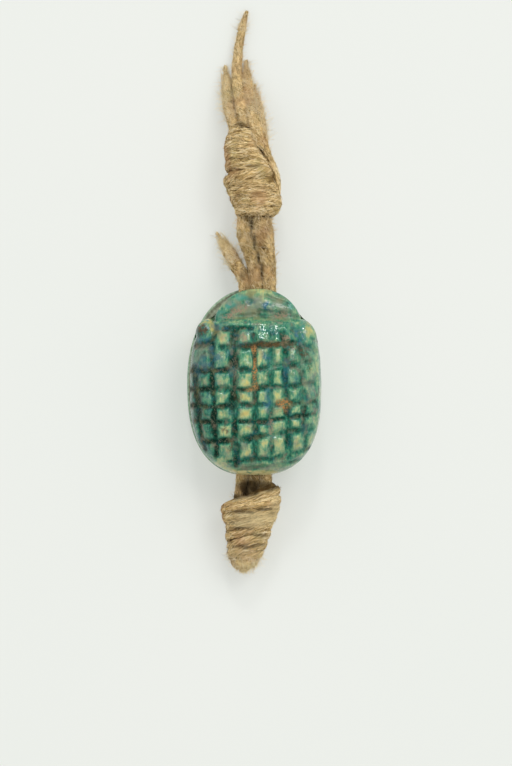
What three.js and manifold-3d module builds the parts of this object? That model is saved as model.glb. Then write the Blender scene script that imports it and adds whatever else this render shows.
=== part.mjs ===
// Stamp seal: a small glazed oval seal with a domed, lattice-cut back, strung on a knotted linen cord.
// Millimetres, +Z up. The origin is the centre of the flat underside and +Y points to the head end.
import * as THREE from "three";
import { mergeVertices } from "three/addons/utils/BufferGeometryUtils.js";
import Module from "manifold-3d";

const wasm = await Module();
wasm.setup();

// The seal's overall size. Its parts are ovals in plan: superellipses about a centre, with a front and a
// rear half that each have their own length, and their own roundness at the left and the right.
const SEAL_LENGTH = 17;
const SEAL_WIDTH = 12.16;
const SEAL_HEIGHT = 7.2;
const OVAL_SEGMENTS = 48;

// The base plate that carries the stamp, flatter at its front right, and the narrow waist cut above it.
const BASE_THICKNESS = 1.3;
const BASE_EDGE_RADIUS = 0.25;
const BASE_OVAL = {
  centre: [0, 0],
  halfWidth: SEAL_WIDTH / 2,
  front: { length: SEAL_LENGTH / 2, left: 2.15, right: 1.8 },
  rear: { length: SEAL_LENGTH / 2, left: 2.55, right: 2.55 },
};
const WAIST_TOP = 2;
const WAIST_SHARE = 0.94;

// The back: a dome on a squarer oval, set a little to the right and to the rear of the base.
const BACK_OVAL = {
  centre: [0.12, -1.2],
  halfWidth: 5.9,
  front: { length: 7.05, left: 4, right: 4 },
  rear: { length: 7.25, left: 2.45, right: 2.45 },
};
const BACK_SHOULDER = 3;
const DOME_FULLNESS = 2.6;
const DOME_STEPS = 10;

// The head: a lower, narrower dome in front of the back, with a slanted line on each side of its snout, a
// line under the snout and a furrow where it meets the back.
const HEAD_OVAL = {
  centre: [0.3, 5.05],
  halfWidth: 3.95,
  front: { length: 3.4, left: 2, right: 2 },
  rear: { length: 3.4, left: 2, right: 2 },
};
const HEAD_SHOULDER = 3.7;
const HEAD_HEIGHT = 4.8;
const HEAD_GROOVE_RADIUS = 0.35;
const HEAD_GROOVES = [
  { line: [[-2.9, 5.6], [-1.5, 6.6], [-0.4, 7.35]], depth: 0.24 },
  { line: [[1.2, 7.75], [1.95, 7.3], [2.9, 7]], depth: 0.18 },
  { line: [[0.4, 6.3], [1.5, 6.2], [3.2, 6.15]], depth: 0.2 },
  { line: [[-2.9, 5.85], [0.2, 5.95], [3.9, 5.8]], depth: 0.24 },
];

// The two lobes at the front corners of the back, each with a groove round its inner side.
const LOBES = [
  { centre: [-4.4, 4.75, 3.7], size: [0.85, 1.05, 1.6], turn: 0.6 },
  { centre: [4.6, 4.4, 3.7], size: [0.95, 1.35, 1.6], turn: -0.55 },
];
const LOBE_SEGMENTS = 14;
const LOBE_RINGS = 10;
const LOBE_GROOVE_DEPTH = 0.3;
const LOBE_GROOVES = [
  [[-3.5, 5], [-3.45, 4.4], [-4, 3.5], [-5.1, 3.2]],
  [[3.65, 4.9], [3.75, 4.2], [4.3, 3.3], [5.4, 2.9]],
];

// The lattice cut across the back. Columns run from the head end to the rear and rows from left to right.
// Each line gives its ends, the offset sideways of its middle, which bows it, and its depth.
const COLUMNS = [
  { x: [-5.3, -4.5], y: [1.4, -6.1], bow: -0.1, depth: 0.26 },
  { x: [-3.8, -3.35], y: [3.3, -6.6], bow: -0.1, depth: 0.32 },
  { x: [-1.75, -1.6], y: [4.6, -7.4], bow: -0.15, depth: 0.4 },
  { x: [-0.05, 0.15], y: [4.2, -6.8], bow: 0.05, depth: 0.28 },
  { x: [1.6, 1.5], y: [4.3, -6.9], bow: -0.15, depth: 0.28 },
  { x: [2.6, 3.15], y: [4.4, -6.7], bow: 0, depth: 0.34 },
  { x: [4.1, 4.55], y: [3.4, -5.9], bow: 0.05, depth: 0.28 },
];
const ROWS = [
  { x: [-3, 3.9], y: [3.05, 3.5], bow: 0, depth: 0.34 },
  { x: [-5.5, 5], y: [1.1, 1.85], bow: -0.35, depth: 0.3 },
  { x: [-5.6, 5.3], y: [-0.65, -0.2], bow: -0.2, depth: 0.28 },
  { x: [-5.5, 5.3], y: [-2.15, -1.75], bow: -0.15, depth: 0.26 },
  { x: [-5.2, 5.3], y: [-3.5, -2.9], bow: -0.35, depth: 0.28 },
  { x: [-4.6, 5.1], y: [-5.4, -4.1], bow: -0.25, depth: 0.36 },
  { x: [-2.2, 5], y: [-7.05, -6], bow: -0.25, depth: 0.24 },
  { x: [-1.4, 4.3], y: [-7.9, -7], bow: -0.1, depth: 0.18 },
];
const GROOVE_RADIUS = 0.4;
const GROOVE_SIDES = 6;
const GROOVE_STEPS = 8;
const LATTICE_PIECES = 6;

// The lengthwise bore: an oval hole, wide enough for three strands side by side.
const BORE = { x: 0.15, height: 2.75, halfWidth: 1.85, halfHeight: 1.25, sides: 16 };

// The cord: three strands through the bore, and three tails beyond the upper knot. The cut strand ends
// beside the bore. Each route goes from the rear to the front and comes down to the floor at its loose end.
const CORD_SIDES = 8;
const STEP_IN_DIAMETERS = 2.5;
const STRAND_RADIUS = 0.45;
const TAIL_RADIUS = 0.28;
const STRANDS = {
  strand_left: [
    [-0.05, -9.25, 2.7],
    [-0.02, -8.4, BORE.height],
    [0.05, -4, BORE.height],
    [0.12, 0, BORE.height],
    [0.2, 4, BORE.height],
    [0.18, 8.6, BORE.height],
    [0.07, 9.7, 2.72],
    [-0.12, 11, 2.65],
    [-0.55, 12.3, 2.55],
    [-0.9, 13.4, 2.48],
    [-0.85, 14.4, 2.4],
  ],
  strand_right: [
    [1, -9.25, 2.7],
    [1.02, -8.4, BORE.height],
    [1.1, -4, BORE.height],
    [1.17, 0, BORE.height],
    [1.25, 4, BORE.height],
    [1.3, 8.6, BORE.height],
    [1.26, 9.7, 2.72],
    [1.15, 11, 2.65],
    [0.88, 12.3, 2.55],
    [0.72, 13.4, 2.48],
    [0.6, 14.4, 2.4],
  ],
  strand_cut: [
    [-1.1, -9.25, 2.7],
    [-1.1, -8.4, BORE.height],
    [-1, -4, BORE.height],
    [-0.95, 0, BORE.height],
    [-0.88, 4, BORE.height],
    [-0.82, 8.6, BORE.height],
    [-0.98, 9.4, 2.6],
    [-1.47, 10.3, 2.2],
    [-2.1, 11.4, 1.6],
    [-2.65, 12.3, 1.1],
    [-3.2, 13.2, 0.72],
    [-3.48, 13.65, 0.6],
  ],
};
const TAILS = {
  tail_left: [
    [-1.75, 23.2, 1.9],
    [-2.1, 24.3, 1.5],
    [-2.3, 25.5, 1.05],
    [-2.43, 26.8, 0.65],
    [-2.55, 28, 0.5],
    [-2.66, 28.8, 0.45],
  ],
  tail_long: [
    [-0.8, 23.2, 2.3],
    [-1.05, 24.3, 2.05],
    [-1.3, 25.6, 1.6],
    [-1.5, 27, 1.05],
    [-1.57, 28.5, 0.65],
    [-1.45, 30, 0.5],
    [-1.25, 31.3, 0.5],
    [-0.98, 32.6, 0.5],
    [-0.64, 33.75, 0.5],
  ],
  tail_right: [
    [0, 23.5, 2.7],
    [-0.22, 24.4, 2.05],
    [-0.45, 25.3, 1.4],
    [-0.62, 26.3, 0.85],
    [-0.7, 27.3, 0.55],
    [-0.72, 28.3, 0.5],
    [-0.72, 29.3, 0.45],
  ],
};

// The knots: places along the cord, each with the middle of the knot there and its half width.
const KNOT_FLATNESS = 0.92;
const KNOT_SIDES = 16;
const KNOT_STEPS = 14;
const KNOTS = {
  upper_knot: [
    { middle: [0.1, 14.75, 2.4], halfWidth: 1.65 },
    { middle: [0.25, 16, 2.2], halfWidth: 2.3 },
    { middle: [-0.13, 18, 2.42], halfWidth: 2.58 },
    { middle: [-0.4, 20, 2.25], halfWidth: 2.3 },
    { middle: [-0.82, 21.3, 2.2], halfWidth: 1.95 },
    { middle: [-0.75, 22.85, 2.1], halfWidth: 1.6 },
  ],
  lower_knot: [
    { middle: [-1, -17.25, 0.8], halfWidth: 0.6 },
    { middle: [-0.92, -16.4, 1.25], halfWidth: 1.25 },
    { middle: [-0.75, -15.4, 1.62], halfWidth: 1.72 },
    { middle: [-0.6, -14.2, 1.95], halfWidth: 2 },
    { middle: [-0.45, -12.8, 2.2], halfWidth: 2.28 },
    { middle: [-0.33, -11.3, 2.6], halfWidth: 2.72 },
    { middle: [0.55, -10.3, 2.7], halfWidth: 1.9 },
    { middle: [1, -9.6, 2.75], halfWidth: 1.2 },
  ],
};

// Points nearer than this are one point of a solid.
const WELD = 1e-4;

const glaze = new THREE.MeshStandardMaterial({ color: 0x4f8a78, roughness: 0.25, metalness: 0 });
const linen = new THREE.MeshStandardMaterial({ color: 0xb79a6b, roughness: 0.95, metalness: 0 });

// A closed geometry as a manifold solid with its faces pointing out.
function solidOf(geometry) {
  const bare = geometry.clone();
  bare.deleteAttribute("normal");
  bare.deleteAttribute("uv");
  const merged = mergeVertices(bare, WELD);
  const vertProperties = new Float32Array(merged.attributes.position.array);
  const triVerts = new Uint32Array(merged.index.array);
  const solid = new wasm.Manifold(new wasm.Mesh({ numProp: 3, vertProperties, triVerts }));
  if (solid.volume() > 0) {
    return solid;
  }
  triVerts.reverse();
  return new wasm.Manifold(new wasm.Mesh({ numProp: 3, vertProperties, triVerts }));
}

function geometryOf(solid) {
  const mesh = solid.getMesh();
  const geometry = new THREE.BufferGeometry();
  geometry.setAttribute("position", new THREE.BufferAttribute(mesh.vertProperties, 3));
  geometry.setIndex(new THREE.BufferAttribute(mesh.triVerts, 1));
  geometry.computeVertexNormals();
  return geometry;
}

// Distance from an oval's centre to its outline in the direction of an angle.
function outlineReach(oval, angle) {
  const { length, left, right } = Math.sin(angle) > 0 ? oval.front : oval.rear;
  const roundness = Math.cos(angle) > 0 ? right : left;
  const across = Math.abs(Math.cos(angle) / oval.halfWidth) ** roundness;
  const along = Math.abs(Math.sin(angle) / length) ** roundness;
  return (across + along) ** (-1 / roundness);
}

// A lathe whose profile radii are shares of the oval's outline, so that the turned form becomes oval.
function ovalSolid(oval, profile) {
  const points = profile.map(([share, height]) => new THREE.Vector2(share, height));
  const geometry = new THREE.LatheGeometry(points, OVAL_SEGMENTS);
  const position = geometry.attributes.position;
  for (let i = 0; i < position.count; i++) {
    const angle = Math.atan2(position.getX(i), position.getZ(i));
    const reach = Math.hypot(position.getX(i), position.getZ(i)) * outlineReach(oval, angle);
    const x = oval.centre[0] + reach * Math.cos(angle);
    const y = oval.centre[1] + reach * Math.sin(angle);
    position.setXYZ(i, x, y, position.getY(i));
  }
  return solidOf(geometry);
}

// Share of the outline, and height, at places up a dome from its shoulder to its crown.
function domeProfile(shoulder, crown) {
  const profile = [];
  for (let i = 0; i <= DOME_STEPS; i++) {
    const angle = ((Math.PI / 2) * i) / DOME_STEPS;
    const share = i === DOME_STEPS ? 0 : Math.cos(angle) ** (2 / DOME_FULLNESS);
    profile.push([share, shoulder + (crown - shoulder) * Math.sin(angle) ** (2 / DOME_FULLNESS)]);
  }
  return profile;
}

// Height of a dome's surface over a point of the plan.
function domeHeight(oval, shoulder, crown, x, y) {
  const [dx, dy] = [x - oval.centre[0], y - oval.centre[1]];
  const share = Math.hypot(dx, dy) / outlineReach(oval, Math.atan2(dy, dx));
  const rise = Math.max(0, 1 - share ** DOME_FULLNESS) ** (1 / DOME_FULLNESS);
  return shoulder + (crown - shoulder) * rise;
}

const backHeight = (x, y) => domeHeight(BACK_OVAL, BACK_SHOULDER, SEAL_HEIGHT, x, y);
const headHeight = (x, y) => domeHeight(HEAD_OVAL, HEAD_SHOULDER, HEAD_HEIGHT, x, y);

// A round rod along a route, with flat ends.
function rod(route, radius, sides, steps) {
  const section = new THREE.Shape().absarc(0, 0, radius, 0, 2 * Math.PI);
  const extrudePath = new THREE.CatmullRomCurve3(route.map((p) => new THREE.Vector3(...p)));
  return new THREE.ExtrudeGeometry(section, { extrudePath, steps, curveSegments: sides / 2 });
}

// A rod that cuts a channel of one depth along a line over a curved surface.
function channel(line, height, radius, depth) {
  const route = line.map(([x, y]) => [x, y, height(x, y) + radius - depth]);
  return solidOf(rod(route, radius, GROOVE_SIDES, GROOVE_STEPS));
}

// Plan points of a lattice line, with its middle pushed sideways.
function latticeLine({ x, y, bow }, sideways) {
  const line = [];
  for (let i = 0; i <= LATTICE_PIECES; i++) {
    const share = i / LATTICE_PIECES;
    const push = bow * Math.sin(Math.PI * share);
    const px = THREE.MathUtils.lerp(x[0], x[1], share) + push * sideways[0];
    const py = THREE.MathUtils.lerp(y[0], y[1], share) + push * sideways[1];
    line.push([px, py]);
  }
  return line;
}

function makeBase() {
  const top = BASE_THICKNESS;
  const edge = BASE_EDGE_RADIUS;
  const inset = 1 - edge / BASE_OVAL.halfWidth;
  return ovalSolid(BASE_OVAL, [
    [0, 0],
    [inset, 0],
    [1, edge],
    [1, top - edge],
    [inset, top],
    [0, top],
  ]);
}

function makeBack() {
  const root = BASE_THICKNESS - BASE_EDGE_RADIUS;
  const sides = [
    [0, root],
    [WAIST_SHARE, root],
    [WAIST_SHARE, WAIST_TOP],
  ];
  return ovalSolid(BACK_OVAL, [...sides, ...domeProfile(BACK_SHOULDER, SEAL_HEIGHT)]);
}

function makeHead() {
  const root = BASE_THICKNESS - BASE_EDGE_RADIUS;
  let head = ovalSolid(HEAD_OVAL, [[0, root], [1, root], ...domeProfile(HEAD_SHOULDER, HEAD_HEIGHT)]);
  for (const { line, depth } of HEAD_GROOVES) {
    head = head.subtract(channel(line, headHeight, HEAD_GROOVE_RADIUS, depth));
  }
  return head;
}

function makeLobe({ centre, size, turn }) {
  const geometry = new THREE.SphereGeometry(1, LOBE_SEGMENTS, LOBE_RINGS);
  geometry.scale(...size);
  geometry.rotateZ(-turn);
  geometry.translate(...centre);
  return solidOf(geometry);
}

function makeSeal() {
  const cuts = [
    ...COLUMNS.map((column) => ({ line: latticeLine(column, [1, 0]), depth: column.depth })),
    ...ROWS.map((row) => ({ line: latticeLine(row, [0, 1]), depth: row.depth })),
    ...LOBE_GROOVES.map((line) => ({ line, depth: LOBE_GROOVE_DEPTH })),
  ];
  let body = makeBase().add(makeBack()).add(makeHead());
  for (const lobe of LOBES) {
    body = body.add(makeLobe(lobe));
  }
  for (const { line, depth } of cuts) {
    body = body.subtract(channel(line, backHeight, GROOVE_RADIUS, depth));
  }
  const bore = new THREE.CylinderGeometry(1, 1, 2 * SEAL_LENGTH, BORE.sides);
  bore.scale(BORE.halfWidth, 1, BORE.halfHeight);
  bore.translate(BORE.x, 0, BORE.height);
  return geometryOf(body.subtract(solidOf(bore)));
}

// A knot: a lathe along the cord through its half widths, flattened a little, its middle bent to a line.
function makeKnot(places) {
  const middle = new THREE.CatmullRomCurve3(places.map((place) => new THREE.Vector3(...place.middle)));
  const widths = new THREE.SplineCurve(places.map((place, i) => new THREE.Vector2(place.halfWidth, i)));
  const profile = [new THREE.Vector2(0, 0)];
  for (let i = 0; i <= KNOT_STEPS; i++) {
    const share = i / KNOT_STEPS;
    profile.push(new THREE.Vector2(widths.getPoint(share).x, share));
  }
  profile.push(new THREE.Vector2(0, 1));
  const geometry = new THREE.LatheGeometry(profile, KNOT_SIDES);
  const position = geometry.attributes.position;
  for (let i = 0; i < position.count; i++) {
    const centre = middle.getPoint(position.getY(i));
    const height = centre.z + position.getZ(i) * KNOT_FLATNESS;
    position.setXYZ(i, centre.x + position.getX(i), centre.y, height);
  }
  return geometryOf(solidOf(geometry));
}

function makeCord(route, radius) {
  const points = route.map((p) => new THREE.Vector3(...p));
  const length = new THREE.CatmullRomCurve3(points).getLength();
  const steps = Math.ceil(length / (2 * radius * STEP_IN_DIAMETERS));
  return geometryOf(solidOf(rod(route, radius, CORD_SIDES, steps)));
}

const stampSeal = new THREE.Group();

function addPiece(name, geometry, material) {
  const mesh = new THREE.Mesh(geometry, material);
  mesh.name = name;
  stampSeal.add(mesh);
}

addPiece("seal", makeSeal(), glaze);
for (const [name, route] of Object.entries(STRANDS)) {
  addPiece(name, makeCord(route, STRAND_RADIUS), linen);
}
for (const [name, route] of Object.entries(TAILS)) {
  addPiece(name, makeCord(route, TAIL_RADIUS), linen);
}
for (const [name, knot] of Object.entries(KNOTS)) {
  addPiece(name, makeKnot(knot), linen);
}

export default stampSeal;
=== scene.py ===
"""Looks of a small glazed stamp seal strung on an old knotted linen cord.

Lengths are millimetres, with +Z up and +Y towards the seal's head end, until a mesh is made in metres.
"""
import math
from collections import namedtuple

import bpy
import numpy as np
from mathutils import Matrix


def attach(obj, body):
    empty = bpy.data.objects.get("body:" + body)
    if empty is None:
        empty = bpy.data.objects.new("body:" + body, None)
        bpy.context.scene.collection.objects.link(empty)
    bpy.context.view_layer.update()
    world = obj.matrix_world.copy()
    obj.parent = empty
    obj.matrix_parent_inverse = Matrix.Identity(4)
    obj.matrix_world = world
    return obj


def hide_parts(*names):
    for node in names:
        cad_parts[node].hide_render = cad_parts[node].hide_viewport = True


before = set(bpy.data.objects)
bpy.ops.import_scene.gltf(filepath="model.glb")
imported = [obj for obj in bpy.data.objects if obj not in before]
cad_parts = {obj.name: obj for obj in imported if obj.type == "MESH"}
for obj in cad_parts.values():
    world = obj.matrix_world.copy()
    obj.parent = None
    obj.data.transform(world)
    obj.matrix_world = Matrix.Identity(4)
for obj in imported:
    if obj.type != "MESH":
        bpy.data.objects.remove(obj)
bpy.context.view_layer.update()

MM = 0.001
SEED = 7

# The forms that the tables below are written in.
Oval = namedtuple("Oval", "centre half_width front rear")
Lobe = namedtuple("Lobe", "centre height size turn")
Hole = namedtuple("Hole", "x height half_width half_height")
Line = namedtuple("Line", "x y bow half depth dark")
Groove = namedtuple("Groove", "points half depth dark")
Lap = namedtuple("Lap", "left right rise left_depth right_depth")
Body = namedtuple("Body", "ridges relief sides turn")
Fray = namedtuple("Fray", "length spread thinning soft")
Fibres = namedtuple("Fibres", "density size slant mess lift tone")

# Camera: straight above the seal, with the photo's height of the scene in view.
VIEW_HEIGHT = 69.26
VIEW_CENTRE = (0.16, -0.09)
CAMERA_HEIGHT = 500.0
FOCUS_HEIGHT = 2.5
SENSOR = 36.0

# The seal's parts in plan: superellipses by centre and half width, and for the front and the rear half its
# length and its roundness at the left and the right.
BASE_OVAL = Oval((0, 0), 6.08, (8.5, 2.15, 1.8), (8.5, 2.55, 2.55))
BACK_OVAL = Oval((0.12, -1.2), 5.9, (7.05, 4.0, 4.0), (7.25, 2.45, 2.45))
HEAD_OVAL = Oval((0.3, 5.05), 3.95, (3.4, 2.0, 2.0), (3.4, 2.0, 2.0))
BACK_SHOULDER, BACK_HEIGHT, NOTCH_HEIGHT = 3.0, 7.2, 2.7
HEAD_SHOULDER, HEAD_HEIGHT = 3.7, 4.8
DOME_FULLNESS = 2.6
# Forms fall away steeply outside their outlines, and blend where they meet.
STEEP, BLEND = 40.0, 0.18
BASE_TOP, BASE_EDGE = 1.3, 0.25
WAIST_HEIGHTS, WAIST_SHARE = (1.9, 2.5), 0.94
# Lobes: centre, height of the middle, reach on each axis, and turn in plan.
LOBES = (
    Lobe((-4.4, 4.75), 3.7, (0.85, 1.05, 1.6), 0.6),
    Lobe((4.6, 4.4), 3.7, (0.95, 1.35, 1.6), -0.55),
)
BORE_SIDES, BORE_REACH = 64, 20.0
BORE = Hole(0.15, 2.75, 1.85, 1.25)

# The seal's mesh: points round it, and rings over its top, its sides, its underside and its edge.
ROUND = 440
TOP_RINGS, SIDE_RINGS, UNDER_RINGS, EDGE_RINGS = 108, 30, 36, 5
OUTLINE_REACH, OUTLINE_SAMPLES, OUTLINE_PASSES = 10.0, 1600, 50
PROFILE_SAMPLES, RIM_PASSES = 400, 12

# The lattice: the x and the y of each line's two ends, the sideways push of its middle, and its half width,
# depth and darkness. The grooves of the lobes and the head have more points.
COLUMNS = (
    Line((-5.3, -4.5), (1.4, -6.1), -0.1, 0.42, 0.26, 0.75),
    Line((-3.8, -3.35), (3.3, -6.6), -0.1, 0.52, 0.32, 0.9),
    Line((-1.75, -1.6), (4.6, -7.4), -0.15, 0.58, 0.4, 1.0),
    Line((-0.05, 0.15), (4.2, -6.8), 0.05, 0.44, 0.28, 0.7),
    Line((1.6, 1.5), (4.3, -6.9), -0.15, 0.46, 0.28, 0.65),
    Line((2.6, 3.15), (4.4, -6.7), 0.0, 0.5, 0.34, 0.85),
    Line((4.1, 4.55), (3.4, -5.9), 0.05, 0.48, 0.28, 0.75),
    Line((5.5, 5.4), (0.4, -4.4), 0.1, 0.35, 0.12, 0.3),
)
ROWS = (
    Line((-2.7, -0.2), (4.85, 4.8), 0.0, 0.4, 0.18, 0.75),
    Line((-3.0, 3.9), (3.05, 3.5), 0.0, 0.5, 0.34, 0.95),
    Line((-5.5, 5.0), (1.1, 1.85), -0.35, 0.48, 0.3, 0.85),
    Line((-5.6, 5.3), (-0.65, -0.2), -0.2, 0.46, 0.28, 0.8),
    Line((-5.5, 5.3), (-2.15, -1.75), -0.15, 0.42, 0.26, 0.8),
    Line((-5.2, 5.3), (-3.5, -2.9), -0.35, 0.44, 0.28, 0.85),
    Line((-4.6, 5.1), (-5.4, -4.1), -0.25, 0.52, 0.36, 1.0),
    Line((-2.2, 5.0), (-7.05, -6.0), -0.25, 0.4, 0.24, 0.7),
    Line((-1.4, 4.3), (-7.9, -7.0), -0.1, 0.34, 0.18, 0.55),
)
LOBE_GROOVES = (
    Groove(((-3.5, 5.0), (-3.45, 4.4), (-4.0, 3.5), (-5.1, 3.2)), 0.45, 0.3, 0.7),
    Groove(((3.65, 4.9), (3.75, 4.2), (4.3, 3.3), (5.4, 2.9)), 0.5, 0.3, 0.6),
)
HEAD_GROOVES = (
    Groove(((-2.9, 5.6), (-1.5, 6.6), (-0.4, 7.35)), 0.5, 0.24, 0.3),
    Groove(((1.2, 7.75), (1.95, 7.3), (2.9, 7.0)), 0.3, 0.18, 0.5),
    Groove(((0.4, 6.3), (1.5, 6.2), (3.2, 6.15)), 0.4, 0.2, 0.3),
    Groove(((-2.9, 5.85), (0.2, 5.95), (3.9, 5.8)), 0.4, 0.24, 0.25),
)
# Raised places on the head and the back's front edge: centre, reach and height.
BUMPS = (
    (0.5, 7.1, 0.5, 0.4, 0.28), (1.3, 6.7, 0.4, 0.3, 0.18), (-0.6, 7.0, 0.4, 0.25, 0.15),
    (0.3, 5.4, 2.8, 0.4, 0.36),
)

# Hand cutting: waves over the plan as height, size and seed, and the fade of a line's darkness.
RIPPLE_WAVES, RIPPLE_STRETCH = 6, (0.7, 1.4)
DRIFT_ACROSS, DRIFT_ALONG = (0.07, 1.4, 1), (0.07, 1.4, 2)
GROOVE_SWELL = (0.22, 1.9, 3)
UNEVENNESS = ((0.05, 2.2, 4), (0.025, 0.8, 5), (0.008, 0.35, 8))
LINE_PIECES, GROOVE_STEP = 12, 0.5
FAR_FROM_CUT, DARK_FADE = 3.0, (0.1, 0.95)

# The stamping face: its border and field as shares of the way to the outline, and its rows and strokes.
FACE_DEPTH = 0.14
BORDER_PLACE, BORDER_HALF, FIELD_PLACE = 0.86, 0.03, 0.76
ROW_PITCH, ROW_HALF, ROW_FADE = 2.4, 0.85, 0.15
STROKE_PITCH, STROKE_HALF, STROKE_SLANT = 1.5, 0.22, 0.35

# Worn, stained and dirty places on the seal: centre, reach and strength of each.
WEAR_PLACES = (
    (0.6, -2.2, 4.0, 4.8, 1.0), (0.6, 1.6, 2.6, 1.9, 0.95), (3.2, -4.0, 2.0, 2.6, 1.0),
    (-4.4, 5.3, 0.8, 0.4, 1.0), (4.9, 4.6, 0.6, 0.5, 0.8), (-2.4, 3.9, 0.7, 0.9, 0.8),
    (-2.9, 0.2, 0.9, 2.2, 0.8), (0.5, 8.1, 1.6, 0.4, 0.35), (5.5, 0.0, 0.5, 5.0, 0.3),
    (0.0, -7.6, 4.0, 0.7, 0.45),
)
STAIN_PLACES = {
    "grey": (
        (0.4, 6.8, 3.2, 1.1, 0.75), (-4.6, 2.2, 0.9, 1.2, 0.4), (4.9, 1.0, 0.7, 1.6, 0.4),
        (0.5, -7.7, 2.6, 0.4, 0.5),
    ),
    "teal": (
        (-2.85, 6.15, 0.5, 0.4, 0.9), (-2.15, 6.95, 0.5, 0.4, 0.9), (-1.2, 7.65, 0.6, 0.35, 0.8),
        (3.1, 6.9, 0.5, 0.5, 0.7), (4.3, 5.0, 0.5, 0.5, 0.7),
    ),
    "olive": (
        (0.4, 7.95, 1.7, 0.35, 0.8), (0.6, 5.75, 3.0, 0.2, 0.6), (-0.4, 6.3, 0.9, 0.4, 0.5),
        (-3.2, 4.4, 0.5, 0.9, 0.6), (2.2, 7.3, 0.8, 0.2, 0.5),
    ),
    "ochre": ((-4.4, 5.45, 0.8, 0.25, 1.0), (-3.8, 5.0, 0.22, 0.5, 0.9), (4.95, 4.9, 0.35, 0.6, 0.6)),
    "straw": ((-0.2, -8.2, 2.5, 0.22, 1.0), (-3.3, -7.4, 0.9, 0.2, 0.5)),
    "earth": (
        (-2.3, 5.95, 0.5, 0.25, 0.9), (-1.55, 6.4, 0.6, 0.35, 0.9), (-0.95, 6.75, 0.4, 0.3, 0.8),
        (2.4, 6.05, 0.8, 0.3, 0.8), (2.9, 3.95, 0.4, 0.32, 0.8), (-0.9, 4.0, 0.35, 0.45, 0.8),
        (-2.8, 4.2, 0.5, 0.5, 0.5), (1.55, -4.1, 0.25, 1.4, 0.6), (-1.6, 0.6, 0.3, 1.6, 0.3),
    ),
    "rust": (
        (0.0, 2.9, 0.25, 0.5, 1.0), (0.05, 1.0, 0.22, 1.2, 1.0), (0.1, -0.3, 0.3, 0.4, 0.8),
        (2.6, -2.05, 0.6, 0.6, 1.0), (1.4, 3.45, 1.6, 0.25, 0.25), (-0.5, -0.75, 0.4, 0.2, 0.7),
    ),
    "brown": (
        (-4.65, 4.75, 0.5, 0.5, 0.9), (0.8, 3.3, 2.2, 0.3, 0.6), (-2.6, -4.3, 0.3, 0.35, 0.8),
        (-2.1, -5.8, 0.25, 0.5, 0.8), (3.4, 3.1, 0.5, 0.3, 0.7), (-1.2, -1.4, 0.5, 0.5, 0.4),
        (2.6, -7.0, 0.3, 0.3, 0.5), (4.5, 2.6, 0.5, 0.6, 0.6), (4.9, 1.3, 0.35, 0.3, 0.7),
        (-5.3, -0.7, 0.25, 0.6, 0.5),
    ),
    "blue": (
        (1.2, -1.6, 0.4, 0.9, 0.8), (1.1, 2.5, 0.5, 0.5, 0.7), (-3.6, 2.4, 0.6, 0.8, 0.7),
        (-4.6, 3.8, 0.6, 0.4, 0.9), (-0.3, 7.2, 0.45, 0.25, 0.8), (1.2, 6.75, 0.6, 0.5, 1.0),
        (4.1, 4.0, 0.5, 0.6, 0.9), (2.9, 0.8, 0.3, 1.6, 0.5), (-4.4, 1.7, 0.9, 0.6, 0.6),
        (-3.0, 5.0, 1.2, 0.4, 0.5),
    ),
}

# Dark places on the cord, in the same form: dirt, and painted shade in the lower knot's slits and neck,
# between the strands and in the left tail's creases.
SOIL_AND_SHADE_PLACES = (
    (-0.4, -9.5, 1.1, 0.8, 1.0), (1.3, -9.5, 1.0, 0.5, 0.8), (-1.5, -10.35, 0.6, 0.3, 0.8),
    (0.9, -11.45, 1.0, 0.16, 1.0), (-1.0, -11.68, 1.0, 0.14, 0.8), (-1.2, -13.22, 1.0, 0.14, 0.8),
    (0.6, -13.82, 0.8, 0.14, 0.8), (-0.9, -14.88, 1.0, 0.16, 0.8), (0.5, -14.68, 0.6, 0.14, 0.8),
    (-1.1, 23.2, 0.4, 0.3, 0.65), (0.1, 19.5, 0.7, 0.2, 0.5), (-0.1, 14.9, 0.6, 0.4, 0.25),
    (0.3, 11.0, 2.0, 3.0, 0.2), (-0.22, 14.2, 0.14, 0.6, 0.9), (0.05, 12.8, 0.13, 0.9, 0.9),
    (0.38, 11.4, 0.13, 0.8, 0.9), (0.7, 10.1, 0.13, 0.7, 0.8), (-1.0, 9.6, 0.3, 0.6, 0.5),
    (-2.35, 26.35, 0.35, 0.05, 0.5), (-2.0, 25.4, 0.3, 0.06, 0.5),
)
# Pale places on the cord: bleaching, and painted light on the lower knot's middle and right side.
PALE_AND_LIT_PLACES = (
    (-0.6, 28.5, 3.0, 5.0, 0.3), (-2.4, 27.0, 0.6, 2.5, 0.6), (-3.0, 12.8, 1.0, 1.1, 0.9),
    (-0.6, -17.1, 1.3, 0.8, 1.0), (0.0, -12.4, 2.4, 0.7, 0.9), (1.9, -12.0, 0.5, 2.0, 0.8),
    (-0.6, -15.6, 1.4, 0.5, 0.4),
)

# Spots have soft uneven edges, dirt in the cuts is uneven, and the cuts are painted darker at the left than
# at the right, as shade.
SPOT_REACH, SPOT_FADE, SPOT_RIPPLE = 1.4, 0.9, (0.25, 0.6, 6)
DIRT_LEVEL, DIRT_RIPPLE = 0.95, (0.4, 1.3, 9)
CUT_SHADE_SIDES, CUT_SHADE_AT_SIDES = (-5.0, 5.0), (1.1, 0.7)

# The glaze's thickness: pooled in the cuts, painted thicker at the left as shade, worn off raised cells,
# thin at rear and foot.
TOP_DEPTH = 0.7
THICKNESS, CUT_THICKENING, WEAR_THINNING = 0.52, 0.47, 0.46
CELL_SEED, CELL_LEAST, CELL_CLEAR = 20, 0.2, (0.5, 1.7)
LEFT_PAINTED_SHADE, LEFT_SHADE_EASE = 0.17, (2.8, 4.8)
REAR_THINNING, REAR_EASE = 0.05, (3.0, 6.0)
FOOT_THINNING, FOOT_HEIGHT, FOOT_FADE = 0.4, 0.7, 0.6
FOOT_LEVEL, FOOT_RIPPLE = 0.6, (0.5, 1.5, 10)

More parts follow.
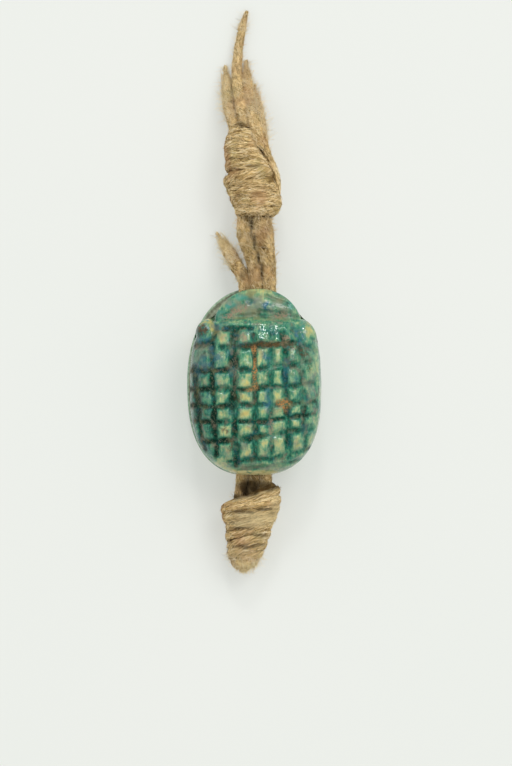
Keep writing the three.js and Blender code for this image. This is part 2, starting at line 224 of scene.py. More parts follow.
# Bare places: under a height, in a band at the base's top, straw at the rear, and on the base's rim, worn
# and painted pale as a highlight.
BARE_BELOW, BARE_BAND = 0.2, 0.06
STRAW_EASE = (5.0, 8.0)
RIM_EASE, RIM_ABOVE = (0.955, 0.985), 0.05

# The glaze's colour by its thickness, which also carries painted shade, from worn almost through to pooled
# in the cuts.
GLAZE_COLOURS = (
    (0.04, (0.6, 0.5, 0.17, 1)),
    (0.18, (0.48, 0.5, 0.2, 1)),
    (0.34, (0.29, 0.42, 0.205, 1)),
    (0.5, (0.095, 0.285, 0.152, 1)),
    (0.66, (0.016, 0.165, 0.102, 1)),
    (0.82, (0.005, 0.075, 0.045, 1)),
    (1.0, (0.002, 0.024, 0.014, 1)),
)
# Stains: colour, size of their speckles, and how far apart the speckles are.
STAINS = {
    "grey": ((0.24, 0.26, 0.18, 1), 0.9, 0.4),
    "teal": ((0.045, 0.26, 0.2, 1), 0.9, 0.34),
    "olive": ((0.22, 0.22, 0.1, 1), 0.7, 0.4),
    "ochre": ((0.5, 0.42, 0.13, 1), 0.5, 0.38),
    "straw": ((0.6, 0.54, 0.26, 1), 0.5, 0.38),
    "earth": ((0.32, 0.23, 0.16, 1), 0.18, 0.4),
    "rust": ((0.4, 0.2, 0.07, 1), 0.16, 0.41),
    "brown": ((0.09, 0.045, 0.015, 1), 0.25, 0.4),
    "blue": ((0.02, 0.12, 0.17, 1), 0.6, 0.4),
}
SPECKLE_DETAIL, SPECKLE_SEED, SPECKLE_EDGE, SPECKLE_LEAST = 1.0, 10.0, 0.15, 0.1
# Clouds in the glaze as size, detail, seed and squeeze, and the change in thickness over a range of values.
CLOUD, CLOUD_CHANGE = (1.3, 2.0, 1.0), (0.25, 0.75, -0.2, 0.2)
GRAIN, GRAIN_CHANGE = (0.4, 2.0, 0.0), (0.25, 0.75, -0.12, 0.12)
SPECK, SPECK_CHANGE = (0.13, 1.0, 4.0), (0.25, 0.75, -0.05, 0.05)
STREAK, STREAK_CHANGE = (0.5, 2.0, 8.0, (3.0, 1.0, 1.0)), (0.3, 0.7, -0.12, 0.12)
# Tints that drift through the glaze as stain and cloud, and their share over a range of the cloud's values.
DRIFTS = (("blue", (0.9, 2.0, 2.0)), ("olive", (0.8, 2.0, 3.0)), ("earth", (0.7, 2.0, 9.0)))
DRIFT_SHARE, DUST_SHARE = (0.54, 0.7, 0.0, 0.4), (0.5, 0.7, 0.0, 0.6)
BARE_SHARE, RIM_SHARE = (0.4, 0.62), (0.35, 0.6, 1.0, 0.3)
# The glaze's shine, dulled by dirt, and the waves and pits in its skin as cloud, range and depth.
GLOSS, SHINE = (0.3, 0.7, 0.07, 0.16), (0.0, 0.7, 0.5, 0.08)
DULL_STAINS, DIRT_ROUGHNESS = ("earth", "rust", "olive"), 0.6
GLAZE_RELIEF = (
    ((0.9, 1.0, 5.0), (0.0, 1.0), 0.11),
    ((0.35, 0.0, 6.0), (0.0, 1.0), 0.045),
    ((0.25, 0.0, 7.0), (0.66, 0.76), 0.03),
)
DUST = (0.16, 0.17, 0.11, 1)
BARE_OLIVE = (0.26, 0.27, 0.17, 1)
BARE_BROWN = (0.13, 0.13, 0.08, 1)
BARE_STRAW = (0.6, 0.56, 0.26, 1)
RIM_MINT_AND_HIGHLIGHT = (0.36, 0.5, 0.36, 1)

# Cord: each strand's route from the lower knot through the bore to its end, as x, y, z and half width.
LEFT_ROUTE = (
    (-1.1, -16.4, 1.0, 0.45), (-1.0, -14.4, 1.9, 0.5), (-0.7, -12.4, 2.2, 0.52), (-0.35, -10.6, 2.6, 0.52),
    (-0.05, -9.25, 2.7, 0.52), (-0.02, -8.4, 2.75, 0.5), (0.05, -4.0, 2.75, 0.5), (0.12, 0.0, 2.75, 0.5),
    (0.2, 4.0, 2.75, 0.5), (0.18, 8.6, 2.75, 0.55), (0.07, 9.7, 2.72, 0.58), (-0.12, 11.0, 2.65, 0.62),
    (-0.55, 12.3, 2.55, 0.65), (-0.9, 13.4, 2.48, 0.66), (-0.85, 14.4, 2.4, 0.64), (-0.85, 16.5, 2.3, 0.6),
    (-1.0, 18.5, 2.3, 0.6), (-1.25, 20.5, 2.2, 0.58), (-1.5, 22.0, 2.05, 0.55), (-1.75, 23.2, 1.9, 0.55),
    (-2.1, 24.3, 1.5, 0.54), (-2.3, 25.5, 1.05, 0.55), (-2.43, 26.8, 0.65, 0.53), (-2.55, 28.0, 0.5, 0.45),
    (-2.66, 28.8, 0.45, 0.42),
)
RIGHT_ROUTE = (
    (-0.3, -16.4, 1.0, 0.45), (0.1, -14.4, 1.9, 0.5), (0.4, -12.4, 2.2, 0.52), (0.8, -10.6, 2.6, 0.54),
    (1.0, -9.25, 2.7, 0.54), (1.02, -8.4, 2.75, 0.52), (1.1, -4.0, 2.75, 0.5), (1.17, 0.0, 2.75, 0.5),
    (1.25, 4.0, 2.75, 0.5), (1.3, 8.6, 2.75, 0.6), (1.26, 9.7, 2.72, 0.65), (1.15, 11.0, 2.65, 0.74),
    (0.88, 12.3, 2.55, 0.88), (0.72, 13.4, 2.48, 0.98), (0.6, 14.4, 2.4, 0.9), (0.2, 16.5, 2.45, 0.7),
    (-0.1, 18.5, 2.5, 0.64), (-0.4, 20.5, 2.5, 0.6), (-0.6, 22.0, 2.4, 0.56), (-0.8, 23.2, 2.3, 0.54),
    (-1.05, 24.3, 2.05, 0.52), (-1.3, 25.6, 1.6, 0.5), (-1.5, 27.0, 1.05, 0.47), (-1.57, 28.5, 0.65, 0.42),
    (-1.45, 30.0, 0.5, 0.37), (-1.25, 31.3, 0.5, 0.33), (-0.98, 32.6, 0.5, 0.28), (-0.64, 33.75, 0.5, 0.15),
)
CUT_ROUTE = (
    (-1.4, -15.6, 1.3, 0.42), (-1.55, -14.4, 1.6, 0.45), (-1.5, -12.4, 2.0, 0.5), (-1.3, -10.6, 2.5, 0.52),
    (-1.1, -9.25, 2.7, 0.52), (-1.1, -8.4, 2.75, 0.5), (-1.0, -4.0, 2.75, 0.5), (-0.95, 0.0, 2.75, 0.5),
    (-0.88, 4.0, 2.75, 0.5), (-0.82, 8.6, 2.75, 0.52), (-0.98, 9.4, 2.6, 0.55), (-1.47, 10.3, 2.2, 0.56),
    (-2.1, 11.4, 1.6, 0.55), (-2.65, 12.3, 1.1, 0.55), (-3.2, 13.2, 0.72, 0.54), (-3.48, 13.65, 0.6, 0.5),
)
TAIL_RIGHT_ROUTE = (
    (-0.72, 29.3, 0.45, 0.42), (-0.72, 28.3, 0.5, 0.44), (-0.7, 27.3, 0.55, 0.5), (-0.62, 26.3, 0.85, 0.52),
    (-0.45, 25.3, 1.4, 0.54), (-0.22, 24.4, 2.05, 0.56), (0.0, 23.5, 2.7, 0.58), (0.22, 22.6, 3.1, 0.6),
    (0.5, 21.7, 3.3, 0.6), (0.85, 20.9, 3.2, 0.62), (1.2, 20.2, 3.0, 0.66),
)
TAIL_SIDE_ROUTE = (
    (0.8, 21.2, 2.7, 0.48), (0.62, 22.4, 2.6, 0.5), (0.46, 23.5, 2.2, 0.52), (0.28, 24.5, 1.6, 0.52),
    (0.12, 25.5, 1.0, 0.48), (0.02, 26.5, 0.6, 0.42), (0.05, 27.1, 0.45, 0.4),
)

# Knots: places along the cord with the middle of the knot and its half width, as x, y, z and half width.
KNOT_FLATNESS = 0.92
UPPER_KNOT = (
    (0.1, 14.75, 2.4, 1.65), (0.25, 16.0, 2.2, 2.3), (-0.13, 18.0, 2.42, 2.58), (-0.4, 20.0, 2.25, 2.3),
    (-0.82, 21.3, 2.2, 1.95), (-0.75, 22.85, 2.1, 1.6),
)
LOWER_KNOT = (
    (-1.0, -17.25, 0.8, 0.6), (-0.92, -16.4, 1.25, 1.25), (-0.75, -15.4, 1.62, 1.72),
    (-0.6, -14.2, 1.95, 2.0), (-0.45, -12.8, 2.2, 2.28), (-0.33, -11.3, 2.6, 2.72), (0.55, -10.3, 2.7, 1.9),
    (1.4, -9.35, 2.75, 0.95), (1.5, -9.0, 2.75, 0.4),
)

# Laps round a knot: y at the left and right edges, rise of the middle, and depth under each edge.
UPPER_LAPS = (
    (15.5, 15.5, 0.0, 0.45, 0.4), (16.3, 16.1, 0.1, 0.4, 0.45), (17.2, 16.6, 0.15, 0.4, 0.55),
    (18.0, 17.3, 0.2, 0.45, 0.6), (18.0, 19.2, 0.1, 0.3, 0.6), (19.5, 19.1, 0.35, 0.45, 0.6),
    (20.35, 19.7, 0.45, 0.4, 0.55), (21.15, 20.5, 0.45, 0.4, 0.5), (21.95, 21.3, 0.35, 0.4, 0.5),
    (22.6, 22.0, 0.15, 0.45, 0.5),
)
LOOP_ROUTE = (
    (1.58, 19.4, 2.8, 0.7), (1.85, 18.4, 2.65, 0.75), (1.92, 17.4, 2.5, 0.72), (1.75, 16.4, 2.1, 0.66),
    (1.1, 15.6, 1.5, 0.6), (0.2, 15.3, 0.95, 0.55), (-0.8, 15.4, 1.1, 0.55),
)
SKIRT_ROUTE = (
    (0.15, 16.2, 2.7, 1.4), (0.12, 15.2, 2.6, 1.45), (0.0, 14.4, 2.55, 1.5), (0.05, 13.8, 2.5, 1.45),
    (0.1, 13.15, 2.5, 1.35),
)
LOWER_LAPS = (
    (-16.5, -15.7, 0.1, 0.35, 0.35), (-15.65, -14.75, 0.15, 0.3, 0.35), (-14.85, -13.85, 0.1, 0.4, 0.35),
    (-14.0, -13.0, 0.15, 0.3, 0.4), (-13.2, -12.3, 0.1, 0.4, 0.3), (-12.4, -11.55, 0.1, 0.3, 0.35),
    (-11.55, -10.75, 0.15, 0.4, 0.35), (-11.0, -9.9, 0.15, 0.3, 0.4),
)
TIP_ROUTE = (
    (-0.75, -14.9, 1.7, 1.2), (-0.85, -16.0, 1.5, 1.2), (-0.95, -16.8, 1.2, 1.0), (-1.02, -17.3, 1.0, 0.8),
)

# Thread: a bundle is a soft ridged body under short fibres that lie along it or stand off it.
ROUTE_STEP, BODY_STEP, CURVE_POINTS = 0.15, 0.17, 30
LOWER_SEED, UPPER_SEED = 2, 3
STRAND_WIDTH, BAND_WIDTH = 1.1, 1.2
UPPER_BAND_HALF, LOWER_BAND_HALF, BAND_THICKNESS = 0.58, 0.47, 0.6
LAP_POINTS, LAP_LEFT_OFF = 24, 6
# The filling's tint is dark: painted shade in the slits between laps.
FILLING_DEPTH, FILLING_LEAST, FILLING_SIDES, FILLING_SHADE_TONE = 0.38, 0.1, 40, -0.1
TAIL_OVERLAP, TAIL_END_SHARE = 10, 0.3
FLOOR_CLEARANCE = 0.02
UP = np.array((0.0, 0.0, 1.0))

# The body: where along the cord its twist changes, its sway and lumps as size and length, and its tone, with
# painted shade in its valleys.
TWIST_CHANGE, TWIST_SWAY = (15.0, 24.0), (0.3, 2.5)
LUMPS = ((0.05, 1.0), (0.04, 0.4))
BODY_TINT, VALLEY_SHADE, BODY_ENDS_AT = 0.45, 0.3, 0.7
# Fibres on the body: few of them out of sight, and painted dark as shade in the creases at a band's edges.
FIBRE_SIDES, FIBRE_TAPER, FIBRE_BEND, SHORTEST = 3, 0.6, 0.6, 0.4
ON_SKIN, OUT_STEP, THIN_SHARE = 1.03, 0.3, 0.5
HIDDEN_IN_BORE, FACING_DOWN, HIDDEN_SHARE = 8.0, -0.55, 0.42
BAND_EDGE, CREASE_SHADE, CREASE_LEVEL, CREASE_LENGTH = 0.06, 2.4, 0.6, 3.5
# Loose fibres at a frayed end: ranges of their start and spread, as shares, and of their tone.
FRAY_FIBRES, FRAY_RADIUS, FRAY_POINTS, FRAY_TURN = 220, 0.018, 6, 0.3
FRAY_STARTS, FRAY_SPREADS, FRAY_TONES = (0.7, 1.3), (-0.6, 1.0), (0.2, 1.0)

# Bundles: ridges round the body and their depth, points round it, and the length of the twist at the start
# and the end.
LEFT_BODY = Body(3, 0.2, 18, (4.0, 8.0))
RIGHT_BODY = Body(3, 0.16, 18, (12.0, 1.9))
TAIL_BODY = Body(2, 0.1, 16, (14.0, 14.0))
BAND_BODY = Body(8, 0.3, 28, (26.0, 26.0))

# Frayed ends: the length that frays, the spread of its loose fibres, how much of the body is lost, and the
# length that is fluffy.
LEFT_FRAY = Fray(2.2, 0.25, 0.72, 5.5)
LONG_FRAY = Fray(1.4, 0.03, 0.4, 2.0)
CUT_FRAY = Fray(2.4, 0.3, 0.85, 4.0)
TAIL_FRAY = Fray(2.2, 0.35, 0.72, 6.0)
SKIRT_FRAY = Fray(2.4, 0.1, 0.0, 0.0)
TIP_FRAY = Fray(1.1, 0.3, 0.6, 2.0)

# Fibres: how many to a square millimetre, their length, half thickness and points, their slant and how
# uneven it is, how far their ends lift, and the range of their tone.
THREADS = Fibres(18, (0.8, 0.042, 4), 0.5, 0.6, 0.06, (0.0, 1.0))
HAIRS = Fibres(14, (0.8, 0.023, 3), 0.3, 0.9, 0.15, (0.0, 1.0))
FUZZ = Fibres(16, (0.8, 0.013, 3), 0.3, 0.9, 0.6, (0.6, 1.5))
FLUFF = Fibres(36, (1.1, 0.013, 3), 0.3, 1.2, 1.0, (0.9, 1.7))
BAND_THREADS = Fibres(20, (1.7, 0.042, 4), 0.25, 0.2, 0.08, (-0.1, 1.25))
BAND_HAIRS = Fibres(7, (0.8, 0.02, 3), 0.0, 0.6, 0.35, (0.2, 1.2))

# Linen's colour by its tone, from the slits between threads to the lightest threads.
LINEN_TONES = (
    (-0.3, (0.045, 0.024, 0.007, 1)),
    (0.05, (0.22, 0.13, 0.04, 1)),
    (0.4, (0.63, 0.435, 0.175, 1)),
    (0.9, (1.0, 0.79, 0.43, 1)),
    (1.6, (1.0, 0.93, 0.72, 1)),
)
# Fine fibres and clouds that change the tone, in the same form as the glaze's.
FIBRE_STRETCH, FIBRE_SCALE, FIBRE_DETAIL = (5.0, 1.5, 1.0), 1.7, 3.0
TINT_STRENGTH, FIBRE_CHANGE = 0.85, (0.3, 0.7, -0.15, 0.4)
LINEN_CLOUD, LINEN_CHANGE = (0.9, 3.0, 0.0), (0.3, 0.7, -0.16, 0.24)
# Tints that drift through the linen: cloud, share and colour.
LINEN_DRIFTS = (
    ((2.0, 2.0, 1.0), (0.5, 0.7, 0.0, 0.55), (0.62, 0.35, 0.17, 1)),
    ((1.6, 2.0, 2.0), (0.54, 0.7, 0.0, 0.35), (0.55, 0.47, 0.19, 1)),
)
# Spots on the linen: soil with painted shade darkens, bleaching with painted light lightens.
LINEN_SPOTS = {"bleach_and_light": (0.6, (0.95, 0.8, 0.46, 1)), "soil_and_shade": (0.92, (0.045, 0.025, 0.006, 1))}
LINEN_ROUGHNESS, LINEN_SHINE = 0.9, 0.2
FIBRE_RELIEF, FIBRE_STRENGTH = 0.05, 0.7

# The floor is a softly lit white table, so shadows on it stay pale.
FLOOR_COLOUR = (0.4, 0.412, 0.39, 1)
FLOOR_SHADE = (0.41, 0.415, 0.395, 1)
FLOOR_GLOW = 0.42
GLOW_COLOUR = (0.97, 1.0, 0.95, 1)
FLOOR_HALF = 400.0
FLOOR_CLOUD, FLOOR_SHARE = (30.0, 3.0, 0.0), (0.3, 0.7)
FLOOR_ROUGHNESS, FLOOR_SHINE = 0.9, 0.0

# The studio: light by height, as the sine of its elevation, and lamps as place, size in metres and power.
SKY = ((0.1, 0.42), (0.55, 0.95), (0.88, 0.95), (0.96, 0.12))
LAMPS = {
    "key": ((0.45, 0.6, 0.75), 0.5, 3.3),
    "right_spark": ((0.6, 0.2, 0.75), 0.07, 0.35),
    "left_spark": ((-0.5, 0.35, 0.8), 0.05, 0.12),
    "head_light": ((-0.02, 0.85, 0.58), 0.15, 2.0),
}
SKY_COLOUR = (1, 1, 1, 1)


def add_object(name, data):
    made = bpy.data.objects.new(name, data)
    bpy.context.collection.objects.link(made)
    return made


def make_camera():
    data = bpy.data.cameras.new("camera")
    data.sensor_width = SENSOR
    data.lens = SENSOR * (CAMERA_HEIGHT - FOCUS_HEIGHT) / VIEW_HEIGHT
    camera = add_object("camera", data)
    camera.location = (VIEW_CENTRE[0] * MM, VIEW_CENTRE[1] * MM, CAMERA_HEIGHT * MM)
    bpy.context.scene.camera = camera


def unit(vectors):
    return vectors / np.linalg.norm(vectors, axis=-1, keepdims=True)


def turns(count):
    """Angles evenly round a full turn."""
    return 2 * np.pi * np.arange(count) / count


def lengths_along(line):
    gaps = np.linalg.norm(np.diff(line[:, :3], axis=0), axis=1)
    return np.concatenate([[0.0], np.cumsum(gaps)])


def smooth_route(points, step=ROUTE_STEP):
    """A Catmull-Rom curve through points of three or more values, resampled at an even step."""
    points = np.asarray(points, float)
    ends = [2 * points[0] - points[1], 2 * points[-1] - points[-2]]
    held = np.vstack([ends[0], points, ends[1]])
    t = np.linspace(0, 1, CURVE_POINTS, endpoint=False)[:, None]
    pieces = []
    for a, b, c, d in zip(held, held[1:], held[2:], held[3:]):
        square = (2 * a - 5 * b + 4 * c - d) * t**2
        cube = (3 * b - a - 3 * c + d) * t**3
        pieces.append((2 * b + (c - a) * t + square + cube) / 2)
    fine = np.vstack([*pieces, points[-1:]])
    along = lengths_along(fine)
    even = np.linspace(0, along[-1], int(along[-1] / step) + 2)
    return np.column_stack([np.interp(even, along, column) for column in fine.T])


def wander(rng, along, wavelength):
    """A smooth random wave along a line, about -1 to 1."""
    heights = rng.uniform(-1, 1, int(along[-1] / wavelength) + 3)
    place = along / wavelength
    low = place.astype(int)
    blend = ease(place - low, 0, 1)
    return heights[low] * (1 - blend) + heights[low + 1] * blend


def side_and_up(line, hint):
    tangent = unit(np.gradient(line, axis=0))
    side = unit(np.cross(tangent, hint))
    return side, np.cross(side, tangent)


class Cordage:
    """Tubes of thread gathered into one mesh.

    Each corner keeps its place across and along its tube, and each point keeps its tube's tint, which
    carries painted shade.
    """

    def __init__(self):
        self.points = []
        self.faces = []
        self.places = []
        self.tints = []
        self.total = 0

    def add_tubes(self, rings, tints):
        """Joins rings of points, kept as tube by ring by side by xyz, into open tubes with tinted points."""
        tubes, count, sides = rings.shape[:3]
        along = np.linalg.norm(np.diff(rings.mean(axis=2), axis=1), axis=-1)
        along = np.concatenate([np.zeros((tubes, 1)), np.cumsum(along, axis=1)], axis=1)
        tube, ring, side = np.meshgrid(range(tubes), range(count - 1), range(sides), indexing="ij")
        corners = [(ring, side), (ring + 1, side), (ring + 1, side + 1), (ring, side + 1)]
        faces = [(tube * count + row) * sides + column % sides for row, column in corners]
        places = [np.stack([column / sides, along[tube, row]], axis=-1) for row, column in corners]
        self.faces.append(self.total + np.stack(faces, axis=-1).reshape(-1, 4))
        self.places.append(np.stack(places, axis=3).reshape(-1, 2))
        points = rings.reshape(-1, 3).copy()
        points[:, 2] = np.maximum(points[:, 2], FLOOR_CLEARANCE)
        self.points.append(points)
        self.tints.append(np.broadcast_to(tints, (tubes, count, sides)).ravel())
        self.total += len(points)

    def add_fibres(self, lines, out, radius, tints):
        """Thin fibres along lines, kept as fibre by point by xyz, tapering to their ends."""
        tangent = unit(np.gradient(lines, axis=1))
        side = unit(np.cross(tangent, out))
        turn = turns(FIBRE_SIDES)
        ring = np.cos(turn)[:, None] * side[:, :, None] + np.sin(turn)[:, None] * out[:, :, None]
        taper = 1 - FIBRE_TAPER * np.linspace(-1, 1, lines.shape[1]) ** 2
        self.add_tubes(lines[:, :, None] + radius * taper[:, None, None] * ring, tints[:, None, None])

    def make(self, name, material):
        points = np.vstack(self.points)
        mesh = bpy.data.meshes.new(name)
        mesh.from_pydata((points * MM).tolist(), [], np.vstack(self.faces).tolist())
        mesh.uv_layers.new(name="thread").data.foreach_set("uv", np.vstack(self.places).ravel())
        # The tint holds each thread's tone and the painted shade of valleys, creases and the knots' filling.
        keep_values(mesh, "tint", np.concatenate(self.tints))
        keep_values(mesh, "soil_and_shade", places(points[:, 0], points[:, 1], SOIL_AND_SHADE_PLACES))
        keep_values(mesh, "bleach_and_light", places(points[:, 0], points[:, 1], PALE_AND_LIT_PLACES))
        return place_mesh(name, mesh, material)


def keep_values(mesh, name, values):
    mesh.attributes.new(name, "FLOAT", "POINT").data.foreach_set("value", values.astype(np.float32))


def place_mesh(name, mesh, material):
    mesh.polygons.foreach_set("use_smooth", np.ones(len(mesh.polygons), bool))
    mesh.materials.append(material)
    piece = add_object(name, mesh)
    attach(piece, "root")
    return piece


class Skin:
    """The outside of a strand, or of a band wound on a knot, by length along it and angle round it."""

    def __init__(self, route, knot=None):
        self.line, self.half, self.knot = route[:, :3], route[:, 3], knot
        self.along = lengths_along(self.line)
        normal = np.broadcast_to(UP, self.line.shape) if knot is None else outward(knot, self.line)
        self.side, self.up = side_and_up(self.line, normal)
        self.around, self.edge = (2 * np.pi, 0) if knot is None else (np.pi, BAND_EDGE * np.pi)

    def at(self, along, values):
        return np.interp(along, self.along, values)

    def vectors(self, along, values):
        return np.stack([self.at(along, column) for column in values.T], axis=-1)

    def point(self, along, angle, swell):
        """Points at a share of the bundle's full size."""
        centre = self.vectors(along, self.line)
        half = self.at(along, self.half) * swell
        across = (half * np.cos(angle))[..., None] * self.vectors(along, self.side)
        rise = (half * np.sin(angle))[..., None] * self.vectors(along, self.up)
        if self.knot is None:
            return centre + across + rise
        return beside(self.knot, centre, across) + BAND_THICKNESS * rise


def beside(knot, centre, across):
    """Points moved over a knot from a line round it, keeping to the knot's own swelling shape."""
    moved = centre + across
    x, z, half = knot_axis(knot, centre[..., 1])
    new_x, new_z, new_half = knot_axis(knot, moved[..., 1])
    moved[..., 0] = new_x + (moved[..., 0] - x) * new_half / half
    moved[..., 2] = new_z + (moved[..., 2] - z) * new_half / half
    return moved


def add_body(cords, skin, body, rng):
    """The bundle itself: a tube with twisted rounded ridges and soft lumps."""
    whole = skin.along[-1]
    along = np.linspace(0, whole, int(whole / BODY_STEP) + 1)
    first, last = body.turn
    turn = first + (last - first) * ease(skin.at(along, skin.line[:, 1]), *TWIST_CHANGE)
    twist = np.cumsum(2 * np.pi * BODY_STEP / turn) + TWIST_SWAY[0] * wander(rng, along, TWIST_SWAY[1])
    angle = turns(body.sides)
    ridge = np.abs(np.sin(body.ridges / 2 * (angle + twist[:, None])))
    lumps = 1 + sum(size * wander(rng, along, length) for size, length in LUMPS)
    from_end = np.clip(np.minimum(along, whole - along) / skin.at(along, skin.half), 0, 1)
    round_end = np.sqrt(from_end * (2 - from_end))
    swell = (1 - body.relief * (1 - ridge) ** 2) * (lumps * round_end)[:, None]
    # Painted shade: the body is darker in the valleys between its ridges and, on a knot, towards a band's
    # edges.
    shade = BODY_TINT * (VALLEY_SHADE + (1 - VALLEY_SHADE) * ridge)
    if skin.knot is not None:
        shade = shade * np.clip(np.sin(angle), 0, 1)
    cords.add_tubes(skin.point(along[:, None], angle[None], swell)[None], shade[None])


def fibre_places(skin, fibres, rng):
    """Lengths along a bundle at which fibres lie, evenly over its surface but few out of sight."""
    count = int(fibres.density * skin.around * np.mean(skin.half) * skin.along[-1])
    surface = np.cumsum(np.maximum(skin.half, THIN_SHARE * np.mean(skin.half)))
    place = np.interp(rng.uniform(0, surface[-1], count), surface, skin.along)
    place = np.minimum(place, skin.along[-1] - SHORTEST * fibres.size[0])
    hidden = np.abs(skin.at(place, skin.line[:, 1])) < HIDDEN_IN_BORE
    if skin.knot is not None:
        hidden = skin.at(place, skin.up[:, 2]) < FACING_DOWN
    return place[~hidden | (rng.uniform(size=count) < HIDDEN_SHARE)][:, None]


def crease_shade(skin, place, angle, rng):
    """Painted shade of a band at places along it and round it, in the crease at each of its edges."""
    depth = CREASE_SHADE * np.clip(CREASE_LEVEL + wander(rng, skin.along, CREASE_LENGTH), 0, 1)
    return skin.at(place, depth) * (1 - np.sin(np.clip(angle, 0, np.pi))) ** 2


def add_fibres(cords, skin, fibres, rng):
    """Short fibres over a bundle; only the outer side of a wound band has them."""
    length, radius, points = fibres.size
    place = fibre_places(skin, fibres, rng)
    one_each = place.shape
    lean = fibres.slant + rng.normal(0, fibres.mess, one_each)
    reach = length * rng.uniform(SHORTEST, 1.0, one_each) * np.linspace(-0.5, 0.5, points)
    bend = rng.normal(0, FIBRE_BEND, one_each) * reach**2
    along = np.clip(place + reach * np.cos(lean) + bend, 0, skin.along[-1])
    half = skin.at(place, skin.half)
    angle = rng.uniform(skin.edge, skin.around - skin.edge, one_each)
    angle = angle + (reach * np.sin(lean) + bend) / half
    rise = fibres.lift * rng.uniform(0, 1, one_each) * np.linspace(0, 1, points) ** 2 / half
    lines = skin.point(along, angle, ON_SKIN + rise)
    out = unit(skin.point(along, angle, 1 + OUT_STEP + rise) - lines)
    tints = rng.uniform(*fibres.tone, len(place))
    # Painted shade: fibres near a band's edges are darkened.
    if skin.knot is not None:
        tints -= crease_shade(skin, place[:, 0], angle.mean(axis=1), rng)
    cords.add_fibres(lines, out, radius, tints)


def add_fray(cords, route, fray, rng):
    """Loose fibres that run on along the end of a strand and stop unevenly."""
    skin = Skin(route)
    share = np.linspace(0, 1, FRAY_POINTS)
    end, one_each = skin.along[-1], (FRAY_FIBRES, 1)
    start = end - fray.length * rng.uniform(*FRAY_STARTS, one_each)
    stop = end - fray.length * np.sqrt(rng.uniform(0, 1, one_each))
    along = np.clip(start + (stop - start) * share, 0, end)
    half = skin.at(along, skin.half)
    swell = np.sqrt(rng.uniform(0, 1, one_each))
    swell = swell + fray.spread * rng.uniform(*FRAY_SPREADS, one_each) * share**2 / half
    angle = rng.uniform(0, 2 * np.pi, one_each) + rng.normal(0, FRAY_TURN, one_each) * share
    lines = skin.point(along, angle, swell)
    out = unit(skin.point(along, angle, swell + OUT_STEP) - lines)
    cords.add_fibres(lines, out, FRAY_RADIUS, rng.uniform(*FRAY_TONES, FRAY_FIBRES))


def add_strand(cords, route, body, fray, rng):
    """A strand along a route, thinning into loose fibres at its last end."""
    add_fray(cords, route, fray, rng)
    thinned = route.copy()
    to_end = lengths_along(route)[-1] - lengths_along(route)
    lost = np.clip((1 - to_end / fray.length) / BODY_ENDS_AT, 0, 1)
    thinned[:, 3] *= 1 - fray.thinning * lost
    skin = Skin(thinned)
    add_body(cords, skin, body, rng)
    for fibres in (THREADS, HAIRS, FUZZ):
        add_fibres(cords, skin, fibres, rng)
    add_fibres(cords, Skin(thinned[to_end < fray.soft]), FLUFF, rng)


def knot_axis(knot, y):
    """Middle x and z and half width of a knot at places along the cord."""
    shape = smooth_route(knot)
    return [np.interp(y, shape[:, 1], shape[:, column]) for column in (0, 2, 3)]


def outward(knot, line):
    """Directions out from a knot's axis at points of a line round it."""
    x, z, _ = knot_axis(knot, line[:, 1])
    return unit(np.column_stack([line[:, 0] - x, np.zeros(len(line)), line[:, 2] - z]))


def lap_line(knot, laps):
    """A line wound round a knot: over the top from left to right, then back beneath, for each lap."""
    share = np.arange(LAP_POINTS) / LAP_POINTS
    angle = np.pi * (1 - 2 * share)
    across = (1 + np.cos(angle)) / 2
    arch = np.clip(np.sin(angle), 0, None)
    over = angle > 0
    laps = [Lap(*lap) for lap in laps]
    rows = []
    for lap, following in zip(laps, laps[1:] + laps[-1:]):
        left = np.where(over, lap.left, following.left)
        depth = np.where(over, lap.left_depth, following.left_depth)
        y = left + (lap.right - left) * across + lap.rise * arch
        rows.append(np.column_stack([angle, y, depth + (lap.right_depth - depth) * across]))
    angle, y, depth = np.vstack(rows).T
    x, z, half = knot_axis(knot, y)
    reach = half - depth
    return np.column_stack([x + reach * np.cos(angle), y, z + reach * KNOT_FLATNESS * np.sin(angle)])


def with_half(line, half):
    return np.column_stack([line, np.full(len(line), half)])


def add_winding(cords, knot, route, rng):
    """A soft flat band along a route round a knot."""
    skin = Skin(route, knot)
    add_body(cords, skin, BAND_BODY, rng)
    for fibres in (BAND_THREADS, BAND_HAIRS):
        add_fibres(cords, skin, fibres, rng)


def add_filling(cords, knot):
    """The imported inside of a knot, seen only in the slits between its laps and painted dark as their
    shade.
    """
    x, y, z, half = smooth_route(knot).T[:, :, None]
    half = np.maximum(half - FILLING_DEPTH, FILLING_LEAST)
    half[[0, -1]] = 0
    turn = turns(FILLING_SIDES)
    across, rise = half * np.cos(turn), KNOT_FLATNESS * half * np.sin(turn)
    rings = np.stack([x + across, np.broadcast_to(y, across.shape), z + rise], axis=-1)
    cords.add_tubes(rings[None], FILLING_SHADE_TONE)


def declare_cord(piece, line, width, far_end, lay, *nodes):
    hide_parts(*nodes)


def make_strand(name, points, body, fray, linen, *nodes):
    rng = np.random.default_rng([SEED, len(points)])
    route = smooth_route(points)
    cords = Cordage()
    add_strand(cords, route, body, fray, rng)
    piece = cords.make(name, linen)
    declare_cord(piece, route[:, :3], STRAND_WIDTH, "bare", "loose", *nodes)


def make_lower_winding(linen):
    rng = np.random.default_rng([SEED, LOWER_SEED])
    line = lap_line(LOWER_KNOT, LOWER_LAPS)[:-LAP_LEFT_OFF]
    route = smooth_route(with_half(line, LOWER_BAND_HALF))
    cords = Cordage()
    add_filling(cords, LOWER_KNOT)
    add_strand(cords, smooth_route(TIP_ROUTE), TAIL_BODY, TIP_FRAY, rng)
    add_winding(cords, LOWER_KNOT, route, rng)
    piece = cords.make("lower_winding", linen)
    declare_cord(piece, route[:, :3], BAND_WIDTH, "knot", "coiled", "lower_knot")


